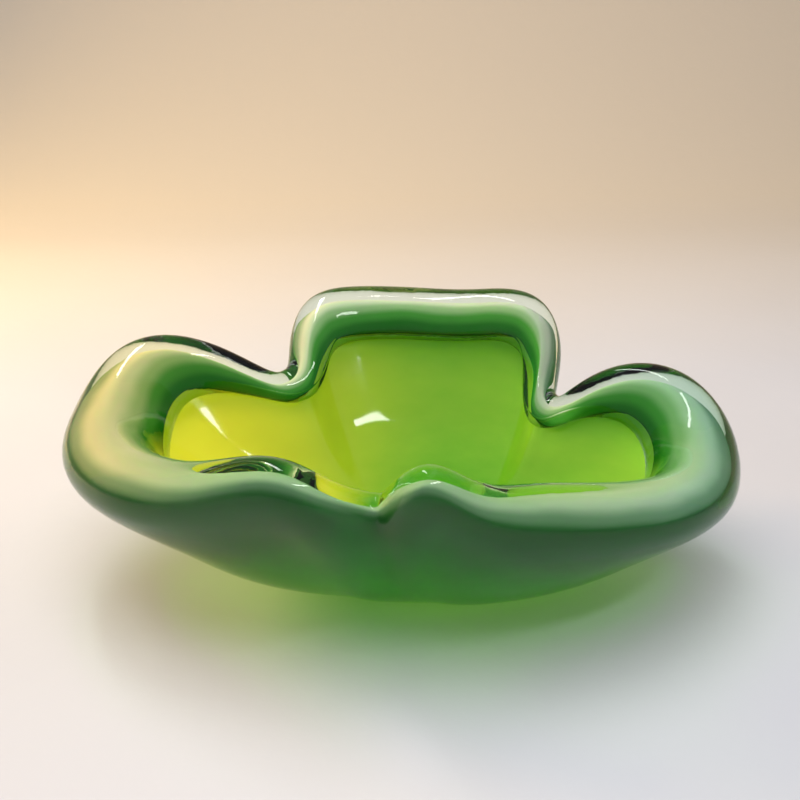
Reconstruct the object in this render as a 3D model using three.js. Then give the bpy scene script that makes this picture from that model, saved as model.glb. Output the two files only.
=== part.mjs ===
// Art glass bowl: one blown and cased piece, a shallow bowl on a ground base, its rim rolled inwards
// over three round lobes and pinched in and down at three clefts between them.
// From the outside in it has three layers: a thick clear casing that also rounds over the lip, a thin
// opal white layer and a green lining.
// Millimetres and degrees. +Z is up, the base stands on z = 0 around the origin, and the front cleft
// faces -Y.
import * as THREE from "three";

// Overall sizes, measured on the joint between the clear casing and the opal layer.
const RIM_REACH = 92; // from the axis out to the rolled rim
const OVAL = 12; // how much further the rim reaches to the sides, and less to the front and back
const RIM_HEIGHT = 57; // from the table up to the rolled rim
const SADDLE = 8; // how much higher the rim stands at the front and back, and lower at the sides
const BASE_REACH = 32; // flat floor of the bowl, from the axis out

// Wall of each layer.
const CASING_WALL = 5.5;
const CLEFT_WALL = 3; // the casing is drawn thinner towards the lip where it isn't rolled
const CLEFT_FLOW = 0.6; // how far the casing's outside flows smooth over the clefts: 0 not, 1 most
const OPAL_WALL = 0.9;
const LINING_WALL = 1.3;
const LAYER_GAP = 0.3; // between the layers' separate solids
const GROUND_OFF = 1.2; // depth ground off the casing's underside to make the flat base

// Each lobe: where it points, and how far and high it stands against the rim's own reach and height.
// roll is how far it turns back over the bowl, as a fraction of the rim's reach, and hang is how far its
// lip hangs below the rim, as a fraction of the rim's height.
const LOBES = [
  { name: "right", angle: -35, reach: -1, height: -12, roll: 0.26, hang: 0.19 },
  { name: "back", angle: 85, reach: 1, height: 3, roll: 0.16, hang: 0.07 },
  { name: "left", angle: 195, reach: 12, height: 4, roll: 0.26, hang: 0.21 },
];

// Each cleft: where it is, how far the rim is pushed in and down there, and over what angle the rim
// hardly rolls. For its clockwise and counter-clockwise sides: how wide the pinch is against its depth,
// and where beside it the rim stands up and out again, and how much.
const CLEFTS = [
  {
    name: "front",
    angle: -101,
    depth: 11,
    drop: 4,
    unroll: 28,
    sides: [
      { width: 1.02, beside: 18, up: 8, out: -2 },
      { width: 0.88, beside: 11, up: 9, out: 0 },
    ],
  },
  {
    name: "back_right",
    angle: 37,
    depth: 31,
    drop: 6,
    unroll: 12,
    sides: [
      { width: 1.19, beside: 22, up: 15, out: 4 },
      { width: 0.67, beside: 22, up: 9, out: 0 },
    ],
  },
  {
    name: "back_left",
    angle: 141,
    depth: 32,
    drop: 11,
    unroll: 12,
    sides: [
      { width: 0.75, beside: 20, up: 2, out: 0 },
      { width: 0.8, beside: 19, up: 9, out: 3 },
    ],
  },
];
const NOTCH_POWER = 2.4; // 2 is a bell-shaped notch, and more makes its foot flatter
const CROWN = 6; // rise of the roll's top above the rim height
const CLEFT_ROLL = 9; // the same three at the middle of a cleft, where the lip hardly turns over
const CLEFT_HANG = 3;
const CLEFT_CROWN = 2;

// Shape of the wall between the floor and the roll, as fractions of the way out and of the way up.
const WALL_LOW = { out: 0.5, up: 0.27 };
const WALL_MID = { out: 0.7, up: 0.55 };
const WALL_HIGH_UP = 0.9;

// Facets.
const TURNS_BETWEEN = Math.round(RIM_REACH * 0.24); // around the axis, from each cleft to the next
const CROWDING = 0.5; // how much closer they stand at the clefts: 0 not, 1 most
const WALL_STEP = 0.5; // along the profile, in spline spans
const ROLL_STEP = 0.5;
const LIP_STEPS = 4;

const radians = THREE.MathUtils.degToRad;

// A value given at the three lobes and carried smoothly around the axis between them.
function aroundLobes(valueOf) {
  const directions = LOBES.map(({ angle }) => [1, Math.cos(radians(angle)), Math.sin(radians(angle))]);
  const inverse = new THREE.Matrix3().set(...directions.flat()).invert();
  const wave = new THREE.Vector3(...LOBES.map(valueOf)).applyMatrix3(inverse);
  return (turn) => wave.x + wave.y * Math.cos(turn) + wave.z * Math.sin(turn);
}

const lobeReach = aroundLobes((lobe) => RIM_REACH + lobe.reach);
const lobeHeight = aroundLobes((lobe) => RIM_HEIGHT + lobe.height);
const lobeRoll = aroundLobes((lobe) => RIM_REACH * lobe.roll);
const lobeHang = aroundLobes((lobe) => RIM_HEIGHT * lobe.hang);

// Nothing at 0, 1 at 1 and nothing again far beyond.
function shoulderShape(x) {
  return x ** 2 * Math.exp(1 - x ** 2);
}

// 1 at 0, falling to nothing beyond 1 on both sides.
function notchShape(x) {
  return Math.exp(-(Math.abs(x) ** NOTCH_POWER));
}

// The rim at one angle around the axis. unroll is 0 on a lobe and 1 at the middle of a cleft.
function rimAt(turn) {
  let reach = lobeReach(turn) + OVAL * Math.cos(2 * turn);
  let height = lobeHeight(turn) - SADDLE * Math.cos(2 * turn);
  let unroll = 0;
  for (const cleft of CLEFTS) {
    const away = turn - radians(cleft.angle);
    const offset = Math.atan2(Math.sin(away), Math.cos(away));
    const side = cleft.sides[offset < 0 ? 0 : 1];
    const notch = notchShape((offset * RIM_REACH) / (side.width * cleft.depth));
    const shoulder = shoulderShape(offset / radians(side.beside));
    reach += side.out * shoulder - cleft.depth * notch;
    height += side.up * shoulder - cleft.drop * notch;
    unroll = Math.max(unroll, notchShape(offset / radians(cleft.unroll)));
  }
  const roll = THREE.MathUtils.lerp(lobeRoll(turn), CLEFT_ROLL, unroll);
  const hang = THREE.MathUtils.lerp(lobeHang(turn), CLEFT_HANG, unroll);
  const crown = THREE.MathUtils.lerp(CROWN, CLEFT_CROWN, unroll);
  return { reach, height, roll, hang, crown, unroll };
}

// Control points of the profile in the plane at one angle, from the axis out along the floor, up the
// wall, over the roll and down to the lip.
function profileAt({ reach, height, roll, hang, crown }) {
  const floor = CASING_WALL - GROUND_OFF;
  const run = reach - BASE_REACH;
  const rise = height - floor;
  return [
    [0, floor],
    [BASE_REACH / 2, floor],
    [BASE_REACH, floor],
    [BASE_REACH + run * WALL_LOW.out, floor + rise * WALL_LOW.up],
    [BASE_REACH + run * WALL_MID.out, floor + rise * WALL_MID.up],
    [reach, floor + rise * WALL_HIGH_UP],
    [reach, height],
    [reach - roll * 0.3, height + crown],
    [reach - roll * 0.7, height + crown - hang * 0.45],
    [reach - roll, height - hang],
  ].map(([out, up]) => new THREE.Vector2(out, up));
}

// Point of the uniform cubic B-spline through its held ends. place runs from 0 to points.length + 1.
function splinePoint(points, place) {
  const last = points.length - 1;
  const held = (i) => points[THREE.MathUtils.clamp(i, 0, last)];
  const span = Math.min(Math.floor(place), points.length);
  const t = place - span;
  const weights = [(1 - t) ** 3, 3 * t ** 3 - 6 * t ** 2 + 4, -3 * t ** 3 + 3 * t ** 2 + 3 * t + 1, t ** 3];
  const point = new THREE.Vector2();
  weights.forEach((weight, i) => point.addScaledVector(held(span + i - 2), weight / 6));
  return point;
}

// Place on the spline of the lip, where the joint between casing and opal layer ends.
const LIP = profileAt(rimAt(0)).length + 1;

// Point on the joint between the casing and the opal layer.
function jointPoint(turn, place) {
  const { x: out, y: up } = splinePoint(profileAt(rimAt(turn)), place);
  return new THREE.Vector3(out * Math.cos(turn), out * Math.sin(turn), up);
}

// At one point of the joint: the direction along the profile, the direction square out of the joint, and
// the direction out of it in which the thick casing is drawn, which turns less into a narrow cleft.
function jointFrame(turn, place) {
  const step = 1e-3;
  const before = Math.max(place - step, 0);
  const after = Math.min(place + step, LIP - 1e-9);
  const along = jointPoint(turn, after).sub(jointPoint(turn, before)).normalize();
  const around = new THREE.Vector3(-Math.sin(turn), Math.cos(turn), 0);
  const inPlane = around.cross(along).normalize();
  const across = jointPoint(turn + step, place).sub(jointPoint(turn - step, place));
  const out = place === 0 ? inPlane : across.cross(along).normalize();
  const casing = out.clone().lerp(inPlane, CLEFT_FLOW).normalize();
  return { along, out, casing };
}

// Point at a depth outside the joint, or inside it when negative.
function layerPoint(turn, place, depth) {
  return jointPoint(turn, place).addScaledVector(jointFrame(turn, place).out, depth);
}

// Point on the casing's outside, which is ground flat underneath.
function outsidePoint(turn, place) {
  const wall = THREE.MathUtils.lerp(CASING_WALL, CLEFT_WALL, (rimAt(turn).unroll * place) / LIP);
  const point = jointPoint(turn, place).addScaledVector(jointFrame(turn, place).casing, wall);
  return point.setZ(Math.max(point.z, 0));
}

// Places of the section's stations, from the axis to the lip.
const ROLL_START = 6;
const STATIONS = [0];
for (let place = 2; place < ROLL_START; place += WALL_STEP) STATIONS.push(place);
for (let place = ROLL_START; place < LIP; place += ROLL_STEP) STATIONS.push(place);
STATIONS.push(LIP - 1e-6);

// Depths of the layers' faces, from the joint inwards.
const OPAL_OUTER = -LAYER_GAP;
const OPAL_INNER = OPAL_OUTER - OPAL_WALL;
const LINING_OUTER = OPAL_INNER - LAYER_GAP;
const LINING_INNER = LINING_OUTER - LINING_WALL;

// Section of the casing: out along its ground underside, around the lip, and back along the joint.
function casingSection(turn) {
  const edge = STATIONS.at(-1);
  const overhang = jointFrame(turn, edge).along.multiplyScalar(LAYER_GAP);
  const from = outsidePoint(turn, edge).add(overhang);
  const to = layerPoint(turn, edge, LINING_INNER).add(overhang);
  const middle = from.clone().lerp(to, 0.5);
  const half = from.clone().sub(middle);
  const forward = overhang.clone().setLength(half.length());
  const lip = [];
  for (let i = 0; i <= LIP_STEPS; i += 1) {
    const angle = (Math.PI * i) / LIP_STEPS;
    const point = middle.clone().addScaledVector(half, Math.cos(angle));
    lip.push(point.addScaledVector(forward, Math.sin(angle)));
  }
  const ledge = jointPoint(turn, edge).add(overhang);
  const inside = STATIONS.map((place) => jointPoint(turn, place)).reverse();
  return [...STATIONS.map((place) => outsidePoint(turn, place)), ...lip, ledge, ...inside];
}

// Section of a layer of even wall between two depths.
function layerSection(outerDepth, innerDepth) {
  return (turn) => [
    ...STATIONS.map((place) => layerPoint(turn, place, outerDepth)),
    ...STATIONS.map((place) => layerPoint(turn, place, innerDepth)).reverse(),
  ];
}

// Angles of the sections around the axis.
const SECTION_TURNS = CLEFTS.flatMap((cleft, i) => {
  const next = CLEFTS[(i + 1) % CLEFTS.length];
  const run = THREE.MathUtils.euclideanModulo(next.angle - cleft.angle, 360);
  return Array.from({ length: TURNS_BETWEEN }, (_, step) => {
    const even = (2 * Math.PI * step) / TURNS_BETWEEN;
    return radians(cleft.angle + (run * (even - CROWDING * Math.sin(even))) / (2 * Math.PI));
  });
});
const TURNS = SECTION_TURNS.length;

// Closed body around the axis, from a section whose first and last points lie on the axis.
function bodyAround(sectionAt) {
  const sections = SECTION_TURNS.map((turn) => sectionAt(turn));
  const rings = sections[0].length - 2;
  const points = [sections[0][0], sections[0].at(-1)];
  for (let ring = 1; ring <= rings; ring += 1) points.push(...sections.map((section) => section[ring]));
  const at = (ring, i) => 2 + ring * TURNS + (i % TURNS);
  const faces = [];
  for (let i = 0; i < TURNS; i += 1) {
    faces.push(0, at(0, i + 1), at(0, i));
    faces.push(1, at(rings - 1, i), at(rings - 1, i + 1));
    for (let ring = 0; ring < rings - 1; ring += 1) {
      faces.push(at(ring, i), at(ring, i + 1), at(ring + 1, i + 1));
      faces.push(at(ring, i), at(ring + 1, i + 1), at(ring + 1, i));
    }
  }
  const geometry = new THREE.BufferGeometry().setFromPoints(points);
  geometry.setIndex(faces);
  geometry.computeVertexNormals();
  return geometry;
}

function glassLayer(name, sectionAt, { color, opacity }) {
  const material = new THREE.MeshStandardMaterial({
    color,
    opacity,
    transparent: opacity < 1,
    roughness: 0.05,
    metalness: 0,
  });
  const mesh = new THREE.Mesh(bodyAround(sectionAt), material);
  mesh.name = name;
  return mesh;
}

const bowl = new THREE.Group();
bowl.name = "art_glass_bowl";
bowl.add(
  glassLayer("clear_casing", casingSection, { color: 0xdfe9e0, opacity: 0.35 }),
  glassLayer("opal_layer", layerSection(OPAL_OUTER, OPAL_INNER), { color: 0xe9ede6, opacity: 0.9 }),
  glassLayer("green_lining", layerSection(LINING_OUTER, LINING_INNER), { color: 0x74b42a, opacity: 0.9 }),
);

export default bowl;
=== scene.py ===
"""Looks of the cased art glass bowl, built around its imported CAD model.

The three glass layers are remade here as smooth meshes on the same surface as the CAD solids, and
sealed against each other without the CAD's gaps, as the real layers are fused. The bowl's sizes are
in millimetres and degrees, and a mesh is turned into metres when it is made.
"""

import math
import bpy
import numpy as np
from mathutils import Matrix, Vector


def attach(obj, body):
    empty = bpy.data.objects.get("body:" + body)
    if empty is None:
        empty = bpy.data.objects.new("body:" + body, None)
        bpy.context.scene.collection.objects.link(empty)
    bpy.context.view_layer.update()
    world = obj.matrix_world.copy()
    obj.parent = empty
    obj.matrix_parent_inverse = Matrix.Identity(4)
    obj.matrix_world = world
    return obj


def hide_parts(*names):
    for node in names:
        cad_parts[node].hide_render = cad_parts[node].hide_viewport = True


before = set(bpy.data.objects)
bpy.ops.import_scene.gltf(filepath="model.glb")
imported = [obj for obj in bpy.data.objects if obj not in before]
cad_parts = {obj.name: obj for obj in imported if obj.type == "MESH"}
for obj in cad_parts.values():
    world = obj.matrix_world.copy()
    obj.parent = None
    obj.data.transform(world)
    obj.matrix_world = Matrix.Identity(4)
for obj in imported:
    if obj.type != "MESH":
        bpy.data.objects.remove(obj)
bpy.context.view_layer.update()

MM = 0.001

# The bowl's sizes, as in the CAD part.
RIM_REACH = 92.0
OVAL = 12.0
RIM_HEIGHT = 57.0
SADDLE = 8.0
BASE_REACH = 32.0
CASING_WALL = 5.5
CLEFT_WALL = 3.0
CLEFT_FLOW = 0.6
CORE_WALL = 2.8  # opal layer and lining together, with the CAD's gaps between them closed
OPAL_FACE = 1.6  # how much deeper than the joint the opal layer starts, so that the clear casing shows
OPAL_WALL = 0.6
GROUND_OFF = 1.2
# roll is a fraction of the rim's reach, and hang a fraction of its height.
LOBES = (
    {"angle": -35, "reach": -1, "height": -12, "roll": 0.26, "hang": 0.19},
    {"angle": 85, "reach": 1, "height": 3, "roll": 0.16, "hang": 0.07},
    {"angle": 195, "reach": 12, "height": 4, "roll": 0.26, "hang": 0.21},
)
# Pairs are for the clockwise and the counter-clockwise side, and width is against the depth.
CLEFTS = (
    {
        "angle": -101, "depth": 11, "drop": 4, "unroll": 28,
        "width": (1.02, 0.88), "beside": (18, 11), "up": (8, 9), "out": (-2, 0),
    },
    {
        "angle": 37, "depth": 31, "drop": 6, "unroll": 12,
        "width": (1.19, 0.67), "beside": (22, 22), "up": (15, 9), "out": (4, 0),
    },
    {
        "angle": 141, "depth": 32, "drop": 11, "unroll": 12,
        "width": (0.75, 0.8), "beside": (20, 19), "up": (2, 9), "out": (0, 3),
    },
)
NOTCH_POWER = 2.4
CROWN = 6.0
CLEFT_ROLL = 9.0
CLEFT_HANG = 3.0
CLEFT_CROWN = 2.0
WALL_LOW = (0.5, 0.27)
WALL_MID = (0.7, 0.55)
WALL_HIGH_UP = 0.9

# Mesh detail.
TURNS = 288
STATIONS = 84
STATION_POWER = 0.8  # below 1, the stations stand closer towards the lip
LIP_STEPS = 12
OVERLAP = 0.12  # how far fused layers reach into each other


# ---- The surface between the clear casing and the opal layer ----


def blend(low, high, share):
    return low + (high - low) * share


def around_lobes(key, turns):
    """A value given at the three lobes, carried smoothly around the axis."""
    angles = np.radians([lobe["angle"] for lobe in LOBES])
    waves = np.column_stack([np.ones(3), np.cos(angles), np.sin(angles)])
    level, cosine, sine = np.linalg.solve(waves, np.array([lobe[key] for lobe in LOBES], float))
    return level + cosine * np.cos(turns) + sine * np.sin(turns)


def rim_at(turns):
    """The rim at these angles. unroll is 0 on a lobe and 1 at the middle of a cleft."""
    reach = RIM_REACH + around_lobes("reach", turns) + OVAL * np.cos(2 * turns)
    height = RIM_HEIGHT + around_lobes("height", turns) - SADDLE * np.cos(2 * turns)
    unroll = np.zeros_like(turns)
    for cleft in CLEFTS:
        away = turns - math.radians(cleft["angle"])
        offset = np.arctan2(np.sin(away), np.cos(away))
        keys = ("width", "beside", "up", "out")
        width, beside, up, out = (np.where(offset < 0, *cleft[key]) for key in keys)
        pinched = np.abs(offset) * RIM_REACH / (width * cleft["depth"])
        notch = np.exp(-(pinched**NOTCH_POWER))
        along = (offset / np.radians(beside)) ** 2
        shoulder = along * np.exp(1 - along)
        reach = reach + out * shoulder - cleft["depth"] * notch
        height = height + up * shoulder - cleft["drop"] * notch
        unrolled = np.exp(-((np.abs(offset) / math.radians(cleft["unroll"])) ** NOTCH_POWER))
        unroll = np.maximum(unroll, unrolled)
    return {
        "reach": reach,
        "height": height,
        "roll": blend(RIM_REACH * around_lobes("roll", turns), CLEFT_ROLL, unroll),
        "hang": blend(RIM_HEIGHT * around_lobes("hang", turns), CLEFT_HANG, unroll),
        "crown": blend(CROWN, CLEFT_CROWN, unroll),
        "unroll": unroll,
    }


def profile_at(turns):
    """Control points of the profile, as an array of points by angles by (out, up)."""
    rim = rim_at(turns)
    reach, height, roll, hang, crown = (rim[key] for key in ("reach", "height", "roll", "hang", "crown"))
    floor = np.full_like(turns, CASING_WALL - GROUND_OFF)
    run = reach - BASE_REACH
    rise = height - floor
    points = (
        (0 * run, floor),
        (0 * run + BASE_REACH / 2, floor),
        (0 * run + BASE_REACH, floor),
        (BASE_REACH + run * WALL_LOW[0], floor + rise * WALL_LOW[1]),
        (BASE_REACH + run * WALL_MID[0], floor + rise * WALL_MID[1]),
        (reach, floor + rise * WALL_HIGH_UP),
        (reach, height),
        (reach - roll * 0.3, height + crown),
        (reach - roll * 0.7, height + crown - hang * 0.45),
        (reach - roll, height - hang),
    )
    return np.array([np.stack(point, axis=-1) for point in points])


LIP = 11.0  # place of the lip on the profile's spline


def spline(points, places):
    """The uniform cubic B-spline through its held ends, at these places from 0 to LIP."""
    last = len(points) - 1
    spans = np.minimum(places.astype(int), last + 1)
    t = (places - spans)[:, None, None]
    weights = ((1 - t) ** 3, 3 * t**3 - 6 * t**2 + 4, -3 * t**3 + 3 * t**2 + 3 * t + 1, t**3)
    return sum(weight / 6 * points[np.clip(spans + i - 2, 0, last)] for i, weight in enumerate(weights))


def joint(turns, places):
    """Points of the joint surface, as an array of places by angles by (x, y, z), in millimetres."""
    out, up = np.moveaxis(spline(profile_at(turns), places), -1, 0)
    return np.stack([out * np.cos(turns), out * np.sin(turns), up], axis=-1)


def unit(vectors):
    return vectors / np.linalg.norm(vectors, axis=-1, keepdims=True)


def joint_frame(turns, places):
    """At the joint's points: the direction along the profile, square out, and out of the casing."""
    step = 1e-3
    before = np.maximum(places - step, 0)
    after = np.minimum(places + step, LIP - 1e-6)
    along = unit(joint(turns, after) - joint(turns, before))
    around = np.stack([-np.sin(turns), np.cos(turns), 0 * turns], axis=-1)
    in_plane = unit(np.cross(around[None], along))
    out = unit(np.cross(joint(turns + step, places) - joint(turns - step, places), along) + 1e-12)
    out = np.where((places == 0)[:, None, None], in_plane, out)
    return along, out, unit(blend(out, in_plane, CLEFT_FLOW))


turns = np.linspace(0, 2 * np.pi, TURNS, endpoint=False)
places = np.linspace(0, 1, STATIONS) ** STATION_POWER * (LIP - 1e-6)
middle = joint(turns, places)
along, out, casing_out = joint_frame(turns, places)
casing_wall = blend(CASING_WALL, CLEFT_WALL, rim_at(turns)["unroll"][None] * places[:, None] / LIP)


def casing_rings():
    """The casing's section rings: out along the underside, over the lip and back inside the core."""
    outside = middle + casing_out * casing_wall[..., None]
    outside[..., 2] = np.maximum(outside[..., 2], 0)
    start = outside[-1]
    end = middle[-1] - out[-1] * CORE_WALL
    centre = (start + end) / 2
    half = start - centre
    forward = along[-1] * np.linalg.norm(half, axis=-1, keepdims=True)
    angles = np.linspace(0, np.pi, LIP_STEPS + 1)[1:]
    lip = [centre + half * math.cos(a) + forward * math.sin(a) for a in angles]
    tuck = middle[-1] - out[-1] * (CORE_WALL - OVERLAP) - along[-1] * OVERLAP
    inside = middle[::-1] - out[::-1] * (OPAL_FACE + OVERLAP)
    return np.concatenate([outside, lip, tuck[None], inside])


def core_rings(outer, inner):
    """Section rings of an inner layer between two depths, its end sunk into the casing's lip."""
    reach = middle.copy()
    reach[-1] += along[-1] * OVERLAP
    return np.concatenate([reach - out * outer, (reach - out * inner)[::-1]])


def glass_mesh(name, rings, stations):
    """A closed smooth mesh around the axis. Its "along" attribute is 0 at the axis and 1 at the lip."""
    count = len(rings) - 2
    points = np.concatenate([rings[0, :1], rings[-1, :1], rings[1:-1].reshape(-1, 3)]) * MM
    index = 2 + np.arange(count * TURNS).reshape(count, TURNS)
    after = np.roll(index, -1, axis=1)
    quads = np.stack([index[:-1], after[:-1], after[1:], index[1:]], axis=-1).reshape(-1, 4)
    first = [(0, b, a) for a, b in zip(index[0], after[0])]
    last = [(1, a, b) for a, b in zip(index[-1], after[-1])]
    mesh = bpy.data.meshes.new(name)
    mesh.from_pydata(points.tolist(), [], quads.tolist() + first + last)
    mesh.shade_smooth()
    values = np.concatenate([[stations[0], stations[-1]], np.repeat(stations[1:-1], TURNS)])
    mesh.attributes.new("along", "FLOAT", "POINT").data.foreach_set("value", values.astype(np.float32))
    return mesh


def add_piece(name, rings, stations, node, material):
    piece = bpy.data.objects.new(name, glass_mesh(name, rings, stations))
    bpy.context.scene.collection.objects.link(piece)
    piece.data.materials.append(material)
    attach(piece, "root")
    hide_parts(node)


# ---- Materials ----


class Shader:
    """A node material with one Principled shader, and short ways to add what feeds it."""

    def __init__(self, name):
        self.material = bpy.data.materials.new(name)
        self.material.use_nodes = True
        self.tree = self.material.node_tree
        self.principled = self.tree.nodes["Principled BSDF"]
        self.place = self.node("ShaderNodeTexCoord").outputs["Object"]

    def node(self, kind, inputs=None, **settings):
        node = self.tree.nodes.new(kind)
        for key, value in settings.items():
            setattr(node, key, value)
        for key, value in (inputs or {}).items():
            self.feed(node.inputs[key], value)
        return node

    def feed(self, socket, value):
        if isinstance(value, bpy.types.NodeSocket):
            self.tree.links.new(value, socket)
        else:
            socket.default_value = value

    def set(self, **values):
        for key, value in values.items():
            self.feed(self.principled.inputs[key.replace("_", " ")], value)

    def noise(self, size, detail=3.0, stretch=(1, 1, 1), contrast=1.0):
        """Noise with features of about this size in metres, spread to 0..1."""
        mapping = self.node("ShaderNodeMapping", {"Vector": self.place, "Scale": stretch})
        inputs = {"Vector": mapping.outputs[0], "Scale": 1 / size, "Detail": detail}
        noise = self.node("ShaderNodeTexNoise", inputs)
        spread = 0.25 / contrast
        return self.span(noise.outputs["Fac"], 0.5 - spread, 0.5 + spread, 0, 1)

    def coordinate(self, axis):
        """The object's own X, Y or Z in metres."""
        return self.node("ShaderNodeSeparateXYZ", {0: self.place}).outputs[axis]

    def across(self, start, end):
        """Runs smoothly from 0 at one x in metres to 1 at another, in either direction."""
        ends = {"Value": self.coordinate("X"), "From Min": start, "From Max": end}
        return self.node("ShaderNodeMapRange", ends, interpolation_type="SMOOTHSTEP").outputs["Result"]

    def span(self, value, low, high, to_low, to_high):
        node = self.node(
            "ShaderNodeMapRange",
            {"Value": value, "From Min": low, "From Max": high, "To Min": to_low, "To Max": to_high},
        )
        return node.outputs["Result"]

    def math(self, operation, first, second):
        return self.node("ShaderNodeMath", {0: first, 1: second}, operation=operation).outputs[0]

    def mix(self, share, first, second, blend_type="MIX"):
        node = self.node("ShaderNodeMix", data_type="RGBA", blend_type=blend_type)
        self.feed(node.inputs[0], share)
        self.feed(node.inputs[6], first)
        self.feed(node.inputs[7], second)
        return node.outputs[2]

    def ramp(self, value, stops):
        node = self.node("ShaderNodeValToRGB", {"Fac": value})
        node.color_ramp.interpolation = "EASE"
        elements = node.color_ramp.elements
        while len(elements) < len(stops):
            elements.new(0.5)
        for element, (position, color) in zip(elements, stops):
            element.position = position
            element.color = (*color, 1)
        return node.outputs["Color"]

    def bump(self, height, distance):
        node = self.node("ShaderNodeBump", {"Height": height, "Distance": distance})
        self.feed(self.principled.inputs["Normal"], node.outputs[0])

    def let_light_in(self, tint):
        """Lets this tint of light through to what lies behind, which refraction alone keeps dark."""
        output = self.tree.nodes["Material Output"]
        clear = self.node("ShaderNodeBsdfTransparent", {"Color": (*tint, 1)})
        path = self.node("ShaderNodeLightPath")
        mix = self.node("ShaderNodeMixShader")
        self.feed(mix.inputs[0], path.outputs["Is Shadow Ray"])
        self.feed(mix.inputs[1], self.principled.outputs[0])
        self.feed(mix.inputs[2], clear.outputs[0])
        self.feed(output.inputs["Surface"], mix.outputs[0])


CLEAR_IOR = 1.42  # a little low, so that the clear casing shows beside the core at the lobes


def clear_glass():
    shader = Shader("clear_glass")
    wave = shader.noise(0.028, detail=1)
    ripple = shader.noise(0.006, detail=2, stretch=(1, 1, 2))
    height = shader.math("ADD", wave, shader.math("MULTIPLY", ripple, 0.08))
    shader.bump(height, 0.00035)
    smudge = shader.noise(0.02, detail=5, contrast=1.5)
    polish = shader.span(smudge, 0.5, 1, 0.0, 0.02)
    ground = shader.span(shader.coordinate("Z"), 0.0001, 0.0004, 0.3, 0.0)
    shader.set(Roughness=shader.math("ADD", polish, ground))
    tint = shader.mix(shader.noise(0.05), (0.82, 0.94, 0.80, 1), (0.88, 0.96, 0.86, 1))
    # Painted light: the casing turns yellow towards the left, standing in for warm light shining through
    # it, and teal towards the right, standing in for green light refracted from below.
    tint = shader.mix(shader.across(-0.05, -0.11), tint, (0.93, 0.91, 0.60, 1))
    tint = shader.mix(shader.across(0.05, 0.10), tint, (0.58, 0.84, 0.70, 1))
    shader.set(Base_Color=tint, Transmission_Weight=1.0, IOR=CLEAR_IOR)
    shader.let_light_in((0.88, 0.96, 0.88))
    return shader.material


# Colours of the opal layer from the foot of the bowl (0) over the ridge of the roll to the lip (1).
# Partly painted light and shade: the wall stops from 0.36 to 0.60 are darkened as painted shade, and the
# foot stops are lighter and yellower as painted light shining through the base.
OPAL_COLORS_AND_SHADE = (
    (0.00, (0.26, 0.46, 0.05)),
    (0.20, (0.22, 0.44, 0.04)),
    (0.36, (0.08, 0.30, 0.03)),
    (0.50, (0.035, 0.19, 0.03)),
    (0.60, (0.06, 0.21, 0.07)),
    (0.655, (0.24, 0.32, 0.24)),
    (0.71, (0.58, 0.58, 0.50)),
    (0.77, (0.50, 0.55, 0.42)),
    (0.82, (0.26, 0.40, 0.20)),
    (0.86, (0.05, 0.24, 0.03)),
    (0.91, (0.005, 0.12, 0.003)),
    (1.00, (0.002, 0.05, 0.002)),
)


def opal_glass():
    shader = Shader("opal_glass")
    along = shader.node("ShaderNodeAttribute", attribute_name="along").outputs["Fac"]
    drift = shader.span(shader.noise(0.045, detail=2), 0, 1, -0.02, 0.02)
    color = shader.ramp(shader.math("ADD", along, drift), OPAL_COLORS_AND_SHADE)
    swirl = shader.noise(0.02, detail=4, stretch=(1, 1, 3))
    color = shader.mix(shader.span(swirl, 0, 1, 0.0, 0.03), color, (0.35, 0.45, 0.3, 1))
    # Painted shade: the upper part of the front wall is darkened, as if in shadow.
    front = shader.span(shader.coordinate("Y"), -0.045, -0.075, 0, 0.9)
    rim = shader.span(shader.coordinate("Z"), 0.026, 0.046, 0, 1)
    front_painted_shade = shader.math("MULTIPLY", front, rim)
    color = shader.mix(front_painted_shade, color, (0.42, 0.62, 0.44, 1), "MULTIPLY")
    # Painted light: the left side is warmed as if lit by a warm lamp, and the right side cooled towards
    # teal.
    painted_warm_light, painted_cool_light = shader.across(-0.03, -0.11), shader.across(0.03, 0.09)
    color = shader.mix(painted_warm_light, color, (1.0, 0.86, 0.66, 1), "MULTIPLY")
    color = shader.mix(painted_cool_light, color, (0.62, 0.82, 0.74, 1), "MULTIPLY")
    shader.set(Base_Color=color, Roughness=shader.span(swirl, 0, 1, 0.4, 0.6), Specular_IOR_Level=0.0)
    shader.set(Subsurface_Weight=0.5, Subsurface_Radius=(0.4, 1.0, 0.3), Subsurface_Scale=0.004)
    shader.bump(shader.noise(0.018, detail=2), 0.0001)
    shader.let_light_in((0.60, 0.75, 0.40))
    return shader.material


# The same order of colours for the green lining.
GREEN_COLORS = (
    (0.00, (0.035, 0.24, 0.004)),
    (0.22, (0.06, 0.29, 0.006)),
    (0.50, (0.21, 0.43, 0.022)),
    (0.80, (0.20, 0.42, 0.030)),
    (0.93, (0.03, 0.22, 0.010)),
    (1.00, (0.01, 0.14, 0.005)),
)


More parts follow.
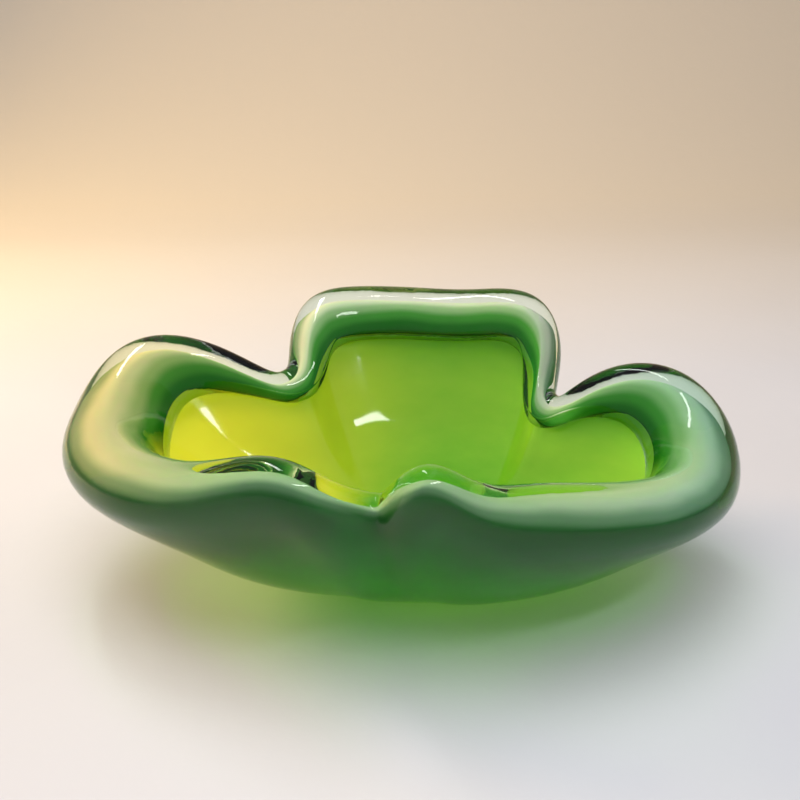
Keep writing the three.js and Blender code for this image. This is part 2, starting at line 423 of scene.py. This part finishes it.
def green_glass():
    shader = Shader("green_glass")
    along = shader.node("ShaderNodeAttribute", attribute_name="along").outputs["Fac"]
    drift = shader.span(shader.noise(0.06, detail=2), 0, 1, -0.03, 0.03)
    color = shader.ramp(shader.math("ADD", along, drift), GREEN_COLORS)
    streak = shader.noise(0.012, detail=3, stretch=(1, 1, 2.5))
    color = shader.mix(shader.span(streak, 0, 1, 0, 0.15), color, (0.40, 0.60, 0.05, 1))
    # Painted light: the lining turns yellow towards the left, standing in for warm light shining through
    # the wall there.
    color = shader.mix(shader.across(0.01, -0.10), color, (0.80, 0.72, 0.02, 1))
    shader.set(Base_Color=color, Roughness=shader.span(shader.noise(0.02, detail=4), 0, 1, 0.03, 0.09))
    shader.set(Subsurface_Weight=0.2, Subsurface_Radius=(0.5, 1.0, 0.2), Subsurface_Scale=0.003)
    shader.set(Specular_IOR_Level=0.5, IOR=1.5)
    shader.bump(shader.noise(0.03, detail=1), 0.0003)
    shader.let_light_in((0.62, 0.80, 0.35))
    return shader.material


inside_stations = places[::-1] / LIP
casing_stations = np.concatenate([places / LIP, np.ones(LIP_STEPS + 1), inside_stations])
core_stations = np.concatenate([places / LIP, inside_stations])

add_piece(
    "glass_casing",
    casing_rings(),
    casing_stations,
    "clear_casing",
    clear_glass(),
)
add_piece(
    "glass_opal",
    core_rings(OPAL_FACE, OPAL_FACE + OPAL_WALL),
    core_stations,
    "opal_layer",
    opal_glass(),
)
add_piece(
    "glass_lining",
    core_rings(OPAL_FACE + OPAL_WALL - OVERLAP, CORE_WALL),
    core_stations,
    "green_lining",
    green_glass(),
)


# ---- Stage ----


def stage_floor():
    """A pale floor that curves up into a plain backdrop, in metres."""
    width, front, back, bend, top, steps = 3.0, -1.6, 1.1, 0.5, 1.6, 16
    section = [(front, 0.0), (back - bend, 0.0)]
    for i in range(1, steps + 1):
        angle = math.pi / 2 * i / steps
        section.append((back - bend + bend * math.sin(angle), bend - bend * math.cos(angle)))
    section.append((back, top))
    points = [(x, y, z) for y, z in section for x in (-width, width)]
    faces = [(2 * i, 2 * i + 1, 2 * i + 3, 2 * i + 2) for i in range(len(section) - 1)]
    mesh = bpy.data.meshes.new("floor")
    mesh.from_pydata(points, [], faces)
    mesh.shade_smooth()
    floor = bpy.data.objects.new("floor", mesh)
    bpy.context.scene.collection.objects.link(floor)
    shader = Shader("floor")
    tint = shader.mix(shader.noise(0.4, detail=3), (0.54, 0.54, 0.59, 1), (0.61, 0.61, 0.66, 1))
    # Painted light: the floor turns warm cream towards the back and up the backdrop, standing in for
    # warm light falling there.
    far = shader.span(shader.coordinate("Y"), 0.2, 0.7, 0, 1)
    tint = shader.mix(far, tint, (0.72, 0.62, 0.50, 1))
    shader.set(Base_Color=tint, Roughness=shader.span(shader.noise(0.1), 0, 1, 0.35, 0.5))
    shader.bump(shader.noise(0.01), 0.0001)
    mesh.materials.append(shader.material)


LIGHT_TARGET = Vector((0, 0, 0.03))

# Rectangular lamps: name, place and size in metres, power in watts, colour, and whether the glass
# mirrors them.
LAMPS = (
    ("overhead", (-0.1, -0.1, 0.9), (0.9, 0.7), 6.0, (1, 0.98, 0.96), False),
    ("window", (-0.12, 0.30, 0.9), (0.07, 0.50), 1.6, (1, 1, 1), True),
    ("lamp", (0.30, -0.45, 0.85), (0.45, 0.07), 1.6, (1, 1, 1), True),
    ("warm", (-0.7, 0.35, 0.42), (0.25, 0.25), 6.5, (1, 0.70, 0.26), False),
)
SKY_COLOR = (0.88, 0.89, 0.95, 1)
SKY_STRENGTH = 0.38


def area_light(name, place, size, power, color, mirrored):
    data = bpy.data.lights.new(name, "AREA")
    data.shape = "RECTANGLE"
    data.size, data.size_y = size
    data.energy = power
    data.color = color
    light = bpy.data.objects.new(name, data)
    bpy.context.scene.collection.objects.link(light)
    light.location = place
    light.rotation_euler = (LIGHT_TARGET - Vector(place)).to_track_quat("-Z", "Y").to_euler()
    light.visible_glossy = mirrored
    light.visible_transmission = False  # its light comes in through let_light_in, and once is enough


def add_sky():
    world = bpy.data.worlds.new("studio")
    world.use_nodes = True
    background = world.node_tree.nodes["Background"]
    background.inputs["Color"].default_value = SKY_COLOR
    background.inputs["Strength"].default_value = SKY_STRENGTH
    bpy.context.scene.world = world


stage_floor()
for lamp in LAMPS:
    area_light(*lamp)
add_sky()
bpy.context.scene.view_settings.view_transform = "Standard"

# ---- Camera ----

VIEW_TILT = 24.5  # degrees down
VIEW_ROLL = 1.0
VIEW_DISTANCE = 0.375
VIEW_TARGET = Vector((0, 0, 0.028))
IMAGE_SIDE = 800  # the unit of the focal length and the shift is one part in this many of the image
FOCAL = 1065
SHIFT = (-28, 86)
SENSOR = 36


def add_camera():
    data = bpy.data.cameras.new("camera")
    data.sensor_width = SENSOR
    data.lens = SENSOR * FOCAL / IMAGE_SIDE
    data.shift_x = SHIFT[0] / IMAGE_SIDE
    data.shift_y = SHIFT[1] / IMAGE_SIDE
    data.clip_start = 0.01
    camera = bpy.data.objects.new("camera", data)
    bpy.context.scene.collection.objects.link(camera)
    tilt = math.radians(VIEW_TILT)
    back = Vector((0, -math.cos(tilt), math.sin(tilt)))
    roll = Matrix.Rotation(math.radians(-VIEW_ROLL), 3, "Z")
    turned = (-back).to_track_quat("-Z", "Y").to_matrix() @ roll
    camera.matrix_world = Matrix.Translation(VIEW_TARGET + back * VIEW_DISTANCE) @ turned.to_4x4()
    bpy.context.scene.camera = camera


add_camera()

bpy.context.view_layer.update()
